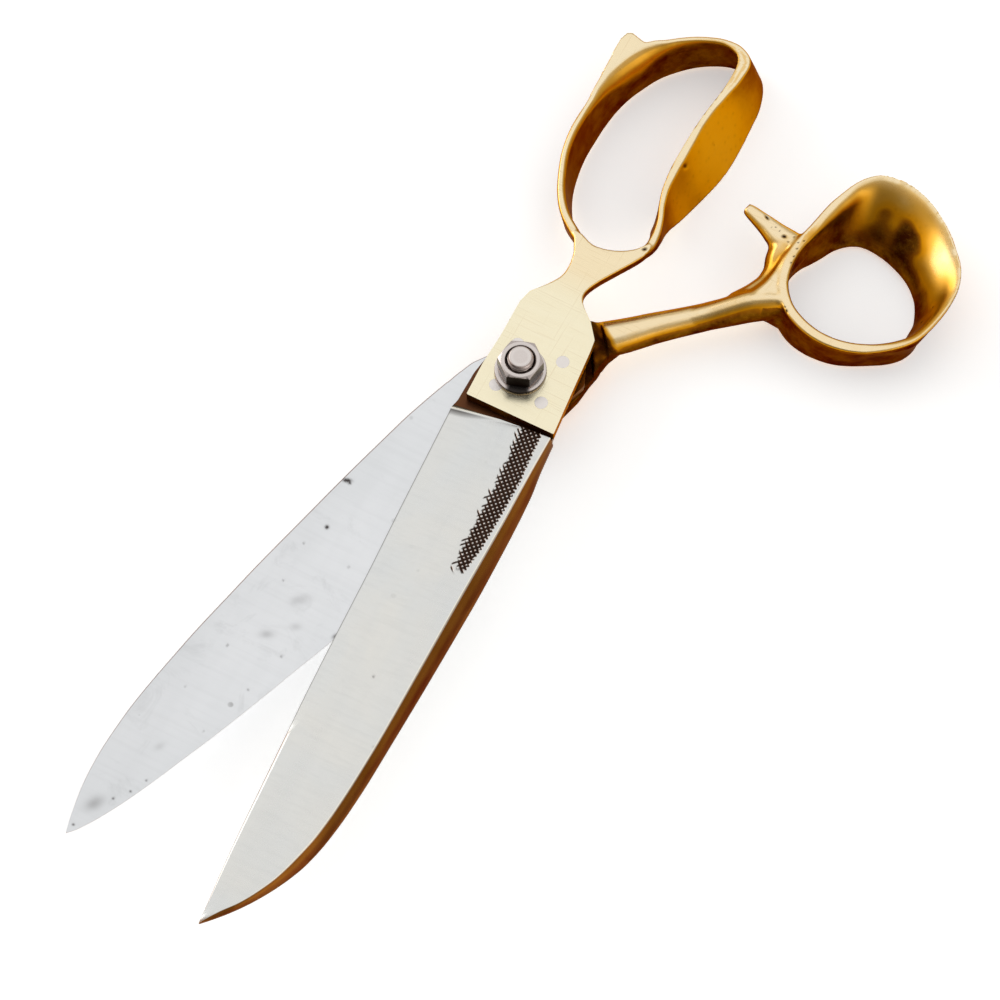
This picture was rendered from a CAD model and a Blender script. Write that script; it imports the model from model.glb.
import math

import bpy
import numpy as np
from mathutils import Matrix, Vector


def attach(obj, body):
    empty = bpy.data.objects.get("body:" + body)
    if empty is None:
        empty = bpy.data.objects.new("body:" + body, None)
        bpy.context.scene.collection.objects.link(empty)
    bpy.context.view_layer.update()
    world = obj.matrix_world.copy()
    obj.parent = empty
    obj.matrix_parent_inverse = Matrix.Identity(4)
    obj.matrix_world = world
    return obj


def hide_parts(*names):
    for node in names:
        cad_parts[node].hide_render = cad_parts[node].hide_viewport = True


# Brass-handled tailor's shears. Shapes are worked out in millimetres in the row frame and scaled to
# metres when each mesh is made. Every CAD node is replaced by a finer piece of the same size and place.

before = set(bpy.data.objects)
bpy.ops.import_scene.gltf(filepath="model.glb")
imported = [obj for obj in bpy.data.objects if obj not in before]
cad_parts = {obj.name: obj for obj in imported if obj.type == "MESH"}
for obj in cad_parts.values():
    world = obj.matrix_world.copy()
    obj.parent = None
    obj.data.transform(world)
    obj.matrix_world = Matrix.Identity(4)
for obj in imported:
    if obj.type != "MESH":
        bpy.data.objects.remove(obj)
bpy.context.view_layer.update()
VOX = 0.26

CZ = 9.3          # height of the plane where the blades meet
GAP = 0.15
OPEN = 14.4       # degrees that the rear half stands open
NUT_TURN = -69.0  # direction of one nut flat


# ------------------------------------------------------------------ mesh helpers
def quads(n, m, close_n=False, close_m=True):
    i = np.arange(n if close_n else n - 1)
    j = np.arange(m if close_m else m - 1)
    I, J = np.meshgrid(i, j, indexing="ij")
    I2, J2 = (I + 1) % n, (J + 1) % m
    return np.stack([I * m + J, I2 * m + J, I2 * m + J2, I * m + J2], -1).reshape(-1, 4)


def volume(V, F):
    total = 0.0
    for f in F if isinstance(F, list) else [F]:
        f = np.asarray(f)
        if f.ndim == 1:
            f = f[None, :]
        for k in range(1, f.shape[1] - 1):
            a, b, c = V[f[:, 0]], V[f[:, k]], V[f[:, k + 1]]
            total += np.einsum("ij,ij->i", a, np.cross(b, c)).sum() / 6
    return total


def shell(V, F):
    """(vertices, list of face arrays), turned so that the faces point out."""
    F = F if isinstance(F, list) else [F]
    if volume(V, F) < 0:
        F = [np.asarray(f)[..., ::-1] for f in F]
    return np.asarray(V, float), F


def loft(sections, closed=False):
    n, m = len(sections), len(sections[0])
    V = np.array(sections, float).reshape(-1, 3)
    F = [quads(n, m, close_n=closed)]
    if not closed:
        F += [np.arange(m)[::-1][None, :], (np.arange(m) + (n - 1) * m)[None, :]]
    return shell(V, F)


def prism(outline, z0, z1, inset_low=None):
    top = np.array([[x, y, z1] for x, y in outline], float)
    low = top.copy()
    low[:, 2] = z0
    if inset_low is not None:
        low[:, :2] = np.array(inset_low, float)
    m = len(outline)
    return shell(np.concatenate([low, top]), [quads(2, m), np.arange(m)[::-1][None, :], (np.arange(m) + m)[None, :]])


def tube(r, z0, z1, x=0.0, y=0.0, n=96):
    a = np.arange(n) / n * 2 * math.pi
    ring = np.stack([x + r * np.cos(a), y + r * np.sin(a)], 1)
    return prism(ring, z0, z1)


def to_mesh(name, shells):
    V, faces, base = [], [], 0
    for v, F in shells:
        for f in F:
            faces += (np.asarray(f) + base).tolist()
        V.append(v)
        base += len(v)
    me = bpy.data.meshes.new(name)
    me.from_pydata(np.concatenate(V).tolist(), [], faces)
    me.update()
    return me


def coords(me):
    co = np.zeros(len(me.vertices) * 3, np.float32)
    me.vertices.foreach_get("co", co)
    return co.reshape(-1, 3).astype(float)


def set_coords(me, V):
    me.vertices.foreach_set("co", V.astype(np.float32).ravel())
    me.update()


def normals(me):
    n = np.zeros(len(me.vertices) * 3, np.float32)
    me.vertex_normals.foreach_get("vector", n)
    return n.reshape(-1, 3).astype(float)


def edges(me):
    e = np.zeros(len(me.edges) * 2, np.int32)
    me.edges.foreach_get("vertices", e)
    return e.reshape(-1, 2)


def through(me, setup):
    """The mesh after one modifier that setup(object) adds."""
    ob = bpy.data.objects.new("tmp", me)
    bpy.context.scene.collection.objects.link(ob)
    extra = setup(ob) or []
    dg = bpy.context.evaluated_depsgraph_get()
    out = bpy.data.meshes.new_from_object(ob.evaluated_get(dg))
    bpy.data.objects.remove(ob)
    for o in extra:
        bpy.data.objects.remove(o)
    return out


def voxel(me, size):
    def setup(ob):
        m = ob.modifiers.new("v", "REMESH")
        m.mode, m.voxel_size, m.adaptivity = "VOXEL", size, 0.0
    return through(me, setup)


def cut(me, cutters):
    def setup(ob):
        cm = to_mesh("cutter", cutters)
        co = bpy.data.objects.new("cutter", cm)
        bpy.context.scene.collection.objects.link(co)
        m = ob.modifiers.new("b", "BOOLEAN")
        m.operation, m.object = "DIFFERENCE", co
        try:
            m.solver = "MANIFOLD"
        except TypeError:
            m.solver = "EXACT"
        return [co]
    out = through(me, setup)
    return out


def smooth(V, E, w, rounds, lam=0.5, mu=-0.52):
    n = len(V)
    deg = np.maximum(np.bincount(E.ravel(), minlength=n), 1)[:, None]
    w = np.asarray(w, float).reshape(-1, 1) * np.ones((n, 1))
    for _ in range(rounds):
        for f in (lam, mu) if mu else (lam,):
            S = np.stack([np.bincount(E[:, 0], V[E[:, 1], k], n) + np.bincount(E[:, 1], V[E[:, 0], k], n) for k in range(3)], 1)
            V = V + f * w * (S / deg - V)
    return V


def step(a, b, x):
    t = np.clip((np.asarray(x, float) - a) / (b - a), 0, 1)
    return t * t * (3 - 2 * t)


def lerp_table(table, y):
    """x at y in a [y, x] table."""
    t = np.array(sorted(map(tuple, table)), float)
    return np.interp(y, t[:, 0], t[:, 1])


def curve(table, y):
    """Smooth reading of a [y, x] table: monotone cubic through its points."""
    t = np.array(sorted(map(tuple, table)), float)
    xs, ys = t[:, 0], t[:, 1]
    h, d = np.diff(xs), np.diff(ys) / np.diff(xs)
    m = np.zeros(len(xs))
    m[1:-1] = np.where(d[:-1] * d[1:] > 0, 2 * d[:-1] * d[1:] / np.where(np.abs(d[:-1] + d[1:]) < 1e-9, 1, d[:-1] + d[1:]), 0)
    m[0], m[-1] = d[0], d[-1]
    y = np.clip(np.asarray(y, float), xs[0], xs[-1])
    i = np.clip(np.searchsorted(xs, y) - 1, 0, len(h) - 1)
    s = (y - xs[i]) / h[i]
    return (ys[i] * (1 + 2 * s) * (1 - s) ** 2 + m[i] * h[i] * s * (1 - s) ** 2
            + ys[i + 1] * s * s * (3 - 2 * s) + m[i + 1] * h[i] * s * s * (s - 1))


def loop_curve(points, count):
    """Closed centripetal spline through the points, count samples, equal shares for each span."""
    P = np.array(points, float)
    n = len(P)
    out = []
    for k in range(count):
        u = k / count * n
        i = int(u)
        w = u - i
        p0, p1, p2, p3 = P[(i - 1) % n], P[i % n], P[(i + 1) % n], P[(i + 2) % n]
        a, b, c = [max(1e-4, np.sum((q - r) ** 2) ** 0.25) for q, r in ((p0, p1), (p1, p2), (p2, p3))]
        t1 = ((p1 - p0) / a - (p2 - p0) / (a + b) + (p2 - p1) / b) * b
        t2 = ((p2 - p1) / b - (p3 - p1) / (b + c) + (p3 - p2) / c) * b
        c2, c3 = -3 * p1 + 3 * p2 - 2 * t1 - t2, 2 * p1 - 2 * p2 + t1 + t2
        out.append(p1 + t1 * w + c2 * w * w + c3 * w ** 3)
    return np.array(out)


def loop_values(values, count, blur=0):
    v = np.array(values, float)
    n = len(v)
    u = np.arange(count) / count * n
    i = u.astype(int)
    w = step(0, 1, u - i)
    out = v[i % n] * (1 - w) + v[(i + 1) % n] * w
    for _ in range(blur):
        out = (np.roll(out, 1) + out * 2 + np.roll(out, -1)) / 4
    return out


def noise3(V, scale, seed):
    """Smooth value noise from -1 to 1 at each point."""
    g = np.random.default_rng(seed)
    tab = g.uniform(-1, 1, 4096)
    p = V / scale
    i = np.floor(p).astype(int)
    f = p - i
    f = f * f * (3 - 2 * f)
    out = 0
    for dx in (0, 1):
        for dy in (0, 1):
            for dz in (0, 1):
                h = ((i[:, 0] + dx) * 73856093 ^ (i[:, 1] + dy) * 19349663 ^ (i[:, 2] + dz) * 83492791) & 4095
                w = (f[:, 0] if dx else 1 - f[:, 0]) * (f[:, 1] if dy else 1 - f[:, 1]) * (f[:, 2] if dz else 1 - f[:, 2])
                out = out + tab[h] * w
    return out


def put(me, name, values):
    a = me.attributes.get(name) or me.attributes.new(name, "FLOAT", "POINT")
    a.data.foreach_set("value", np.asarray(values, np.float32))


def piece(me, name, body, nodes, material, sharp=38.0):
    me.name = name
    me.transform(Matrix.Scale(0.001, 4))
    me.materials.clear()
    me.materials.append(material)
    me.polygons.foreach_set("use_smooth", [True] * len(me.polygons))
    me.set_sharp_from_angle(angle=math.radians(sharp))
    me.update()
    ob = bpy.data.objects.new(name, me)
    bpy.context.scene.collection.objects.link(ob)
    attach(ob, body)
    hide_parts(*nodes)
    return ob


def turn(V, deg):
    a = math.radians(deg)
    out = V.copy()
    out[:, 0] = V[:, 0] * math.cos(a) - V[:, 1] * math.sin(a)
    out[:, 1] = V[:, 0] * math.sin(a) + V[:, 1] * math.cos(a)
    return out


# ------------------------------------------------------------------ node materials
class Nodes:
    def __init__(self, name):
        self.mat = bpy.data.materials.new(name)
        self.mat.use_nodes = True
        self.t = self.mat.node_tree
        self.t.nodes.clear()
        self.out = self.t.nodes.new("ShaderNodeOutputMaterial")
        self.bsdf = self.t.nodes.new("ShaderNodeBsdfPrincipled")
        self.t.links.new(self.bsdf.outputs[0], self.out.inputs[0])
        self.obj = self.t.nodes.new("ShaderNodeTexCoord").outputs["Object"]
        self.geo = self.t.nodes.new("ShaderNodeNewGeometry")

    def put(self, socket, value):
        if isinstance(value, bpy.types.NodeSocket):
            self.t.links.new(value, socket)
        else:
            socket.default_value = value

    def math(self, op, a, b=0.0, c=0.0, clamp=False):
        n = self.t.nodes.new("ShaderNodeMath")
        n.operation, n.use_clamp = op, clamp
        for s, v in zip(n.inputs, (a, b, c)):
            self.put(s, v)
        return n.outputs[0]

    def mix(self, f, a, b, mode="MIX"):
        n = self.t.nodes.new("ShaderNodeMix")
        n.data_type, n.blend_type = "RGBA", mode
        self.put(n.inputs["Factor"], f)
        for key, v in (("A", a), ("B", b)):
            s = [i for i in n.inputs if i.name == key and i.type == "RGBA"][0]
            self.put(s, v if isinstance(v, bpy.types.NodeSocket) else (*v, 1.0))
        return [o for o in n.outputs if o.type == "RGBA"][0]

    def mapped(self, scale, turn_z=0.0):
        n = self.t.nodes.new("ShaderNodeMapping")
        self.t.links.new(self.obj, n.inputs["Vector"])
        n.inputs["Scale"].default_value = scale
        n.inputs["Rotation"].default_value = (0, 0, turn_z)
        return n.outputs[0]

    def noise(self, scale, detail=3.0, rough=0.55, vector=None, distort=0.0):
        n = self.t.nodes.new("ShaderNodeTexNoise")
        self.t.links.new(vector or self.obj, n.inputs["Vector"])
        n.inputs["Scale"].default_value = scale
        n.inputs["Detail"].default_value = detail
        n.inputs["Roughness"].default_value = rough
        n.inputs["Distortion"].default_value = distort
        return n.outputs["Fac"]

    def cells(self, scale, vector=None):
        n = self.t.nodes.new("ShaderNodeTexVoronoi")
        n.feature = "F1"
        self.t.links.new(vector or self.obj, n.inputs["Vector"])
        n.inputs["Scale"].default_value = scale
        return n.outputs["Distance"]

    def ramp(self, fac, stops, mode="LINEAR"):
        n = self.t.nodes.new("ShaderNodeValToRGB")
        n.color_ramp.interpolation = mode
        self.put(n.inputs[0], fac)
        el = n.color_ramp.elements
        while len(el) < len(stops):
            el.new(0.5)
        for e, (p, c) in zip(el, stops):
            e.position = p
            e.color = (c, c, c, 1) if isinstance(c, (int, float)) else (*c, 1)
        return n.outputs[0]

    def range(self, v, a, b, lo, hi):
        n = self.t.nodes.new("ShaderNodeMapRange")
        n.clamp = True
        for s, x in zip(n.inputs, (v, a, b, lo, hi)):
            self.put(s, x)
        return n.outputs[0]

    def attr(self, name):
        n = self.t.nodes.new("ShaderNodeAttribute")
        n.attribute_name = name
        return n.outputs["Fac"]

    def up(self):
        s = self.t.nodes.new("ShaderNodeSeparateXYZ")
        self.t.links.new(self.geo.outputs["Normal"], s.inputs[0])
        return self.math("ABSOLUTE", s.outputs[2])

    def bump(self, height, strength, distance, normal=None):
        n = self.t.nodes.new("ShaderNodeBump")
        n.inputs["Strength"].default_value = strength
        n.inputs["Distance"].default_value = distance
        self.t.links.new(height, n.inputs["Height"])
        if normal is not None:
            self.t.links.new(normal, n.inputs["Normal"])
        return n.outputs[0]

    def set(self, key, value):
        self.put(self.bsdf.inputs[key], value)


def srgb(r, g, b):
    return tuple(((c / 255) / 12.92 if c / 255 <= 0.04045 else ((c / 255 + 0.055) / 1.055) ** 2.4) for c in (r, g, b))


def brass_material():
    m = Nodes("brass_cast")
    up = m.up()
    broad = m.noise(38, 4, 0.6)
    fine = m.noise(420, 4, 0.6)
    up = m.math("ADD", up, m.attr("tone"))
    up = m.math("ADD", up, m.math("MULTIPLY", m.math("SUBTRACT", broad, 0.5), 0.16))
    up = m.math("ADD", up, m.math("MULTIPLY", m.math("SUBTRACT", fine, 0.5), 0.05), clamp=True)
    col = m.ramp(up, [
        (0.00, srgb(64, 24, 4)), (0.12, srgb(94, 44, 8)), (0.26, srgb(140, 78, 8)), (0.40, srgb(208, 136, 8)),
        (0.56, srgb(212, 146, 30)), (0.76, srgb(222, 166, 66)), (0.90, srgb(236, 194, 118)), (0.965, srgb(244, 215, 162)), (1.00, srgb(248, 226, 184))])
    # the plates are lapped flat and polished paler than the cast skin
    pale = m.mix(m.noise(90, 3, 0.5, m.mapped((1, 7, 1), 0.5)), srgb(250, 242, 214), srgb(246, 236, 204))
    flat = m.math("MULTIPLY", m.attr("polish"), m.range(up, 0.80, 0.97, 0.0, 1.0), clamp=True)
    col = m.mix(flat, col, pale)
    # casting speckle and tarnish on the unpolished walls
    satin = m.range(up, 0.35, 0.75, 1.0, 0.0)
    speck = m.math("MULTIPLY", m.ramp(m.cells(520), [(0.0, 1.0), (0.22, 0.25), (0.4, 0.0)]), m.math("MULTIPLY", satin, 0.35))
    col = m.mix(speck, col, srgb(120, 66, 8), "MIX")
    blotch = m.math("MULTIPLY", m.ramp(m.noise(120, 5, 0.7), [(0.40, 0.0), (0.72, 1.0)]), m.math("MULTIPLY", satin, 0.30))
    col = m.mix(blotch, col, srgb(214, 148, 26))
    # hairline scratches left by polishing
    s1 = m.ramp(m.noise(60, 2, 0.5, m.mapped((1, 46, 30), 0.9)), [(0.60, 0.0), (0.68, 1.0)])
    s2 = m.ramp(m.noise(52, 2, 0.5, m.mapped((40, 1, 30), -0.35)), [(0.62, 0.0), (0.70, 1.0)])
    scratch = m.math("MAXIMUM", s1, s2)
    col = m.mix(m.math("MULTIPLY", scratch, 0.10), col, srgb(180, 128, 50))
    # worn bright edges and dirt in the pits
    col = m.mix(m.math("MULTIPLY", m.attr("wear"), 0.75, clamp=True), col, srgb(250, 232, 190))
    pit = m.attr("pit")
    col = m.mix(m.math("MULTIPLY", pit, 1.0, clamp=True), col, srgb(44, 20, 4))
    m.set("Base Color", col)
    m.set("Metallic", 1.0)
    rough = m.range(up, 0.2, 0.95, 0.46, 0.24)
    rough = m.math("ADD", rough, m.math("MULTIPLY", m.math("SUBTRACT", fine, 0.5), 0.14))
    rough = m.math("ADD", rough, m.math("MULTIPLY", pit, 0.3), clamp=True)
    m.set("Roughness", rough)
    m.bsdf.inputs["Specular Tint"].default_value = (0.60, 0.34, 0.12, 1)
    h = m.math("ADD", m.math("MULTIPLY", fine, 0.5), m.math("MULTIPLY", scratch, -0.12))
    h = m.math("ADD", h, m.math("MULTIPLY", m.noise(1500, 2, 0.5), 0.25))
    m.set("Normal", m.bump(h, 0.20, 0.00006))
    return m.mat


def steel_material(name, base, warm, speck_amount, rough_lo, rough_hi, brush_turn):
    m = Nodes(name)
    up = m.up()
    long_grain = m.noise(70, 4, 0.6, m.mapped((1, 0.10, 1), brush_turn), 0.3)
    cloud = m.noise(26, 4, 0.55, None, 0.6)
    fine = m.noise(700, 3, 0.6)
    col = m.mix(m.ramp(cloud, [(0.30, 0.0), (0.70, 1.0)]), base, warm)
    col = m.mix(m.math("MULTIPLY", m.ramp(long_grain, [(0.42, 0.0), (0.75, 1.0)]), 0.22), col, tuple(0.82 * c for c in base))
    # fine brushed lines across the ground face
    lines = m.noise(900, 2, 0.5, m.mapped((0.05, 1, 1), brush_turn + 0.35))
    col = m.mix(m.math("MULTIPLY", m.ramp(lines, [(0.45, 0.0), (0.7, 1.0)]), 0.07), col, tuple(0.6 * c for c in base))
    # small dark corrosion specks
    sp = m.ramp(m.cells(150), [(0.0, 1.0), (0.075, 0.85), (0.12, 0.0)])
    where = m.ramp(m.noise(58, 3, 0.6), [(0.50, 0.0), (0.66, 1.0)])
    sp = m.math("MULTIPLY", m.math("MULTIPLY", sp, where), speck_amount)
    col = m.mix(sp, col, srgb(120, 118, 116))
    smear = m.math("MULTIPLY", m.ramp(m.noise(75, 5, 0.7, None, 1.2), [(0.55, 0.0), (0.72, 1.0)]), speck_amount * 0.30)
    col = m.mix(smear, col, srgb(186, 188, 190))
    # tarnished sides: brown, two tones on the bevelled back
    steep = m.range(up, 0.94, 0.80, 0.0, 1.0)
    pat = m.math("MAXIMUM", m.attr("patina"), m.math("MULTIPLY", steep, 0.75), clamp=True)
    brown = m.mix(m.attr("low"), srgb(120, 70, 18), srgb(92, 36, 12))
    brown = m.mix(m.ramp(m.noise(160, 4, 0.65, m.mapped((1, 0.25, 1))), [(0.35, 0.0), (0.75, 0.55)]), brown, srgb(150, 96, 40))
    col = m.mix(pat, col, brown)
    col = m.mix(m.math("MULTIPLY", m.attr("shine"), 0.9, clamp=True), col, srgb(250, 244, 226))
    stain = m.math("MULTIPLY", m.attr("stain"), 1.0, clamp=True)
    col = m.mix(stain, col, srgb(64, 56, 54))
    hatch = m.math("MULTIPLY", m.attr("hatch"), 1.0, clamp=True)
    ink = m.mix(m.noise(420, 3, 0.6), srgb(30, 18, 14), srgb(66, 46, 36))
    col = m.mix(hatch, col, ink)
    m.set("Base Color", col)
    m.set("Metallic", 1.0)
    r = m.range(long_grain, 0.3, 0.7, rough_lo, rough_hi)
    r = m.math("ADD", r, m.math("MULTIPLY", m.math("MAXIMUM", stain, hatch), 0.25))
    r = m.math("ADD", r, m.math("MULTIPLY", m.math("SUBTRACT", fine, 0.5), 0.10), clamp=True)
    m.set("Roughness", r)
    m.bsdf.inputs["Specular Tint"].default_value = (0.80, 0.72, 0.62, 1)
    h = m.math("ADD", m.math("MULTIPLY", lines, 0.35), m.math("MULTIPLY", fine, 0.3))
    h = m.math("ADD", h, m.math("MULTIPLY", long_grain, 0.8))
    h = m.math("SUBTRACT", h, m.math("MULTIPLY", sp, 0.8))
    m.set("Normal", m.bump(h, 0.18, 0.00005))
    return m.mat


def fastener_material():
    m = Nodes("fastener_steel")
    up = m.up()
    fine = m.noise(900, 3, 0.6)
    broad = m.noise(260, 4, 0.6)
    t = m.math("ADD", up, m.math("MULTIPLY", m.math("SUBTRACT", broad, 0.5), 0.18), clamp=True)
    col = m.ramp(t, [(0.0, srgb(34, 14, 6)), (0.22, srgb(62, 40, 28)), (0.55, srgb(148, 130, 118)), (0.85, srgb(206, 192, 186)), (1.0, srgb(216, 208, 204))])
    col = m.mix(m.math("MULTIPLY", m.attr("pit"), 1.0, clamp=True), col, srgb(26, 14, 8))
    col = m.mix(m.math("MULTIPLY", m.attr("wear"), 1.0, clamp=True), col, srgb(240, 236, 232))
    m.set("Base Color", col)
    m.set("Metallic", 1.0)
    turned = m.noise(1400, 2, 0.5, m.mapped((1, 1, 6)))
    m.set("Roughness", m.math("ADD", m.range(broad, 0.3, 0.7, 0.20, 0.34), m.math("MULTIPLY", m.attr("pit"), 0.3), clamp=True))
    h = m.math("ADD", m.math("MULTIPLY", fine, 0.4), m.math("MULTIPLY", turned, 0.4))
    m.set("Normal", m.bump(h, 0.22, 0.00005))
    return m.mat


def rivet_material():
    m = Nodes("rivet_steel")
    fine = m.noise(800, 3, 0.6)
    broad = m.noise(300, 4, 0.6)
    col = m.mix(broad, srgb(242, 236, 232), srgb(228, 222, 218))
    col = m.mix(m.math("MULTIPLY", m.attr("pit"), 1.0, clamp=True), col, srgb(150, 138, 118))
    m.set("Base Color", col)
    m.set("Metallic", 1.0)
    m.set("Roughness", m.range(fine, 0.2, 0.8, 0.26, 0.40))
    m.set("Normal", m.bump(m.math("ADD", fine, m.math("MULTIPLY", broad, 0.6)), 0.25, 0.00005))
    return m.mat


def floor_material():
    m = Nodes("pale_floor")
    n = m.noise(30, 3, 0.5)
    m.set("Base Color", m.mix(n, (0.90, 0.90, 0.90), (0.93, 0.93, 0.93)))
    m.set("Roughness", 0.9)
    m.bsdf.inputs["Specular IOR Level"].default_value = 0.1
    # the table top is lit from below, as on a light table
    m.bsdf.inputs["Emission Color"].default_value = (1.0, 1.0, 1.0, 1.0)
    m.bsdf.inputs["Emission Strength"].default_value = 0.42
    return m.mat


BRASS = brass_material()
BLADE_A = steel_material("blade_polished", srgb(219, 222, 223), srgb(227, 226, 221), 0.22, 0.20, 0.30, 0.0)
BLADE_B = steel_material("blade_satin", srgb(233, 235, 238), srgb(225, 228, 231), 1.0, 0.30, 0.42, -0.25)
FASTENER = fastener_material()
RIVET = rivet_material()

# ------------------------------------------------------------------ tables (millimetres)
FRONT_EDGE = [[-11, -10.75], [-25, -10.0], [-41.5, -9.0], [-58.3, -7.85], [-74.4, -6.95], [-85.7, -6.3], [-95.9, -5.6],
              [-107.9, -4.6], [-119.4, -3.65], [-130.4, -2.75], [-142.2, -1.55], [-150, -0.6], [-154.9, -0.05]]
FRONT_TOP = [[-11, 13.75], [-21, 13.8], [-36.7, 14.25], [-56, 14.5], [-76.6, 14.9], [-96, 15.15], [-106, 15.0], [-115, 14.6],
             [-123, 13.8], [-130, 12.4], [-136.6, 10.6], [-142, 8.3], [-146.6, 5.7], [-150.3, 2.9], [-153.4, 0.9], [-154.9, 0.12]]
FRONT_BACK = [[-11, 14.35], [-19, 15.2], [-25.5, 16.2], [-39, 17.05], [-57, 17.6], [-76, 17.65], [-96, 17.5], [-105, 17.4],
              [-114.5, 17.0], [-122.7, 16.2], [-130, 14.8], [-136, 12.7], [-143, 9.2], [-148.5, 5.6], [-152.5, 2.4], [-154.9, 0.24]]
REAR_EDGE = [[-11, 10.6], [-18, 11.5], [-30, 12.5], [-45, 13.0], [-60, 13.1], [-77.2, 12.7], [-86.7, 11.8], [-100.5, 10.5],
             [-108.1, 9.7], [-115.5, 8.8], [-122.6, 7.8], [-129.1, 6.95], [-135.2, 6.0], [-141, 4.9], [-147, 3.45], [-151.5, 1.95], [-153.6, 0.9]]
REAR_TOP = [[-11, -11.6], [-19.4, -11.7], [-34.9, -11.5], [-52, -11.3], [-73.7, -10.9], [-85, -10.5], [-96.3, -10.0],
            [-105.5, -9.3], [-112.9, -8.6], [-120.1, -7.7], [-126.9, -6.5], [-132.9, -5.2], [-141.3, -2.9], [-149.6, -0.2], [-153.6, 0.72]]
REAR_BACK = [[-11, -12.1], [-19.4, -12.8], [-26, -13.15], [-43.2, -13.25], [-59.4, -13.05], [-73.7, -12.85], [-85, -12.45],
             [-96.3, -12.0], [-105.5, -11.35], [-112.9, -10.75], [-120.1, -9.95], [-126.9, -8.8], [-132.9, -7.55], [-141.3, -5.05], [-149.6, -1.5], [-152.8, 0.15], [-153.6, 0.6]]
LOW = -9.3
BOW = [
    [5.0, 34.9, 5.0, 36.0, 2.0], [0.8, 34.1, 0.8, 35.2, 1.5], [-2.7, 35.4, -2.6, 36.5, 0.0], [-5.9, 37.4, -5.6, 38.7, -3.0],
    [-10.3, 40.8, -9.7, 42.2, -6.2], [-13.3, 44.9, -12.5, 46.3, -8.4], [-15.5, 49.5, -14.6, 50.8, -9.2],
    [-17.2, 54.3, -15.9, 55.9, LOW], [-18.1, 59.5, -16.5, 61.0, LOW], [-18.2, 63.8, -16.5, 65.6, LOW],
    [-17.8, 68.3, -16.4, 70.0, LOW], [-17.3, 73.1, -15.8, 74.6, LOW], [-15.9, 77.9, -14.7, 79.0, LOW],
    [-13.9, 82.7, -13.0, 83.2, LOW], [-11.7, 86.8, -11.0, 87.0, LOW], [-8.9, 89.9, -8.6, 90.1, LOW],
    [-5.6, 92.6, -5.4, 93.3, LOW], [-1.6, 94.7, -1.6, 96.0, LOW], [2.2, 95.9, 3.0, 98.0, LOW],
    [5.5, 95.6, 7.2, 98.2, LOW], [7.6, 93.7, 10.6, 96.2, LOW], [8.2, 89.4, 12.9, 91.0, LOW],
    [8.0, 84.4, 13.6, 85.6, LOW], [7.4, 79.5, 14.0, 80.0, LOW], [7.0, 75.0, 14.1, 74.8, LOW],
    [6.9, 70.6, 13.6, 70.0, LOW], [6.9, 65.8, 12.6, 65.4, LOW], [7.1, 61.4, 11.5, 61.2, LOW],
    [7.7, 56.8, 10.6, 56.6, -8.2], [8.7, 53.0, 10.1, 52.6, -5.9], [10.1, 49.4, 10.4, 49.0, -2.7],
    [10.9, 45.8, 11.0, 45.6, 0.0], [11.0, 42.2, 11.0, 42.4, 1.5], [9.9, 39.3, 9.9, 39.8, 2.0], [7.7, 36.7, 7.7, 37.6, 2.1]]
# rim half widths outward and inward, and corner radii (outer top, inner top), one for each station
BOW_OUT = [1.15, 1.15, 1.2, 1.2, 1.15, 1.15, 1.15, 1.15, 1.15, 1.15, 1.3, 2.2, 3.6, 4.4, 2.5, 1.4, 1.15, 1.15, 1.15,
           1.5, 2.1, 1.45, 0.75, 0.45, 0.5, 0.75, 0.9, 0.75, 0.5, 0.5, 0.6, 0.9, 1.1, 1.15, 1.15]
BOW_IN = [1.2, 1.2, 1.15, 1.0, 0.85, 0.75, 0.7, 0.65, 0.65, 0.65, 0.7, 1.0, 1.8, 2.2, 1.4, 0.8, 0.5, 0.35, 0.4,
          0.8, 1.15, 1.15, 1.15, 1.15, 1.15, 1.15, 1.15, 1.15, 1.1, 0.9, 0.75, 0.8, 1.0, 1.15, 1.2]
BOW_ROUT = [0.7] * 12 + [0.6] * 7 + [0.5, 0.38, 0.34, 0.32, 0.32, 0.32, 0.32, 0.32, 0.34, 0.36, 0.4, 0.5, 0.6, 0.7, 0.7, 0.7]
BOW_RIN = [0.7] * 5 + [0.85] * 5 + [1.5, 2.8, 4.6, 5.4, 3.6, 1.7, 0.8, 0.45, 0.38, 0.36] + [0.34] * 10 + [0.36, 0.4, 0.5, 0.6, 0.7]
BOW_FOOT_IN = [1.15] * 26 + [1.8, 2.5, 3.0, 3.0, 2.6, 2.0, 1.5] + [1.2] * 2
RING = [
    [42.7, 47.9, 40.9, 48.5], [41.3, 51.5, 39.5, 52.0], [40.8, 55.8, 39.2, 55.6], [41.1, 59.7, 40.3, 59.2], [42.1, 64.2, 41.8, 61.6],
    [43.3, 69.1, 43.6, 64.3], [44.9, 74.2, 45.4, 66.9], [46.9, 79.0, 48.2, 69.5], [50.0, 82.2, 51.4, 71.0], [54.2, 83.2, 55.9, 71.1],
    [58.6, 82.7, 60.5, 70.0], [63.4, 80.9, 64.0, 68.4], [68.3, 78.0, 66.6, 66.5], [72.6, 74.4, 69.0, 64.0], [75.9, 70.6, 70.6, 61.2],
    [77.6, 66.4, 71.8, 58.0], [77.9, 62.4, 71.9, 55.2], [77.5, 58.4, 71.8, 51.9], [76.6, 54.2, 71.0, 49.6], [75.2, 50.3, 69.2, 47.7],
    [72.9, 47.2, 66.0, 45.8], [69.8, 44.5, 62.2, 43.7], [66.3, 42.4, 59.1, 42.4], [62.4, 41.0, 55.7, 41.7], [58.4, 40.4, 51.9, 41.6],
    [54.4, 40.6, 48.0, 42.4], [50.1, 41.8, 44.9, 44.0], [46.2, 43.9, 42.6, 46.0]]
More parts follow.
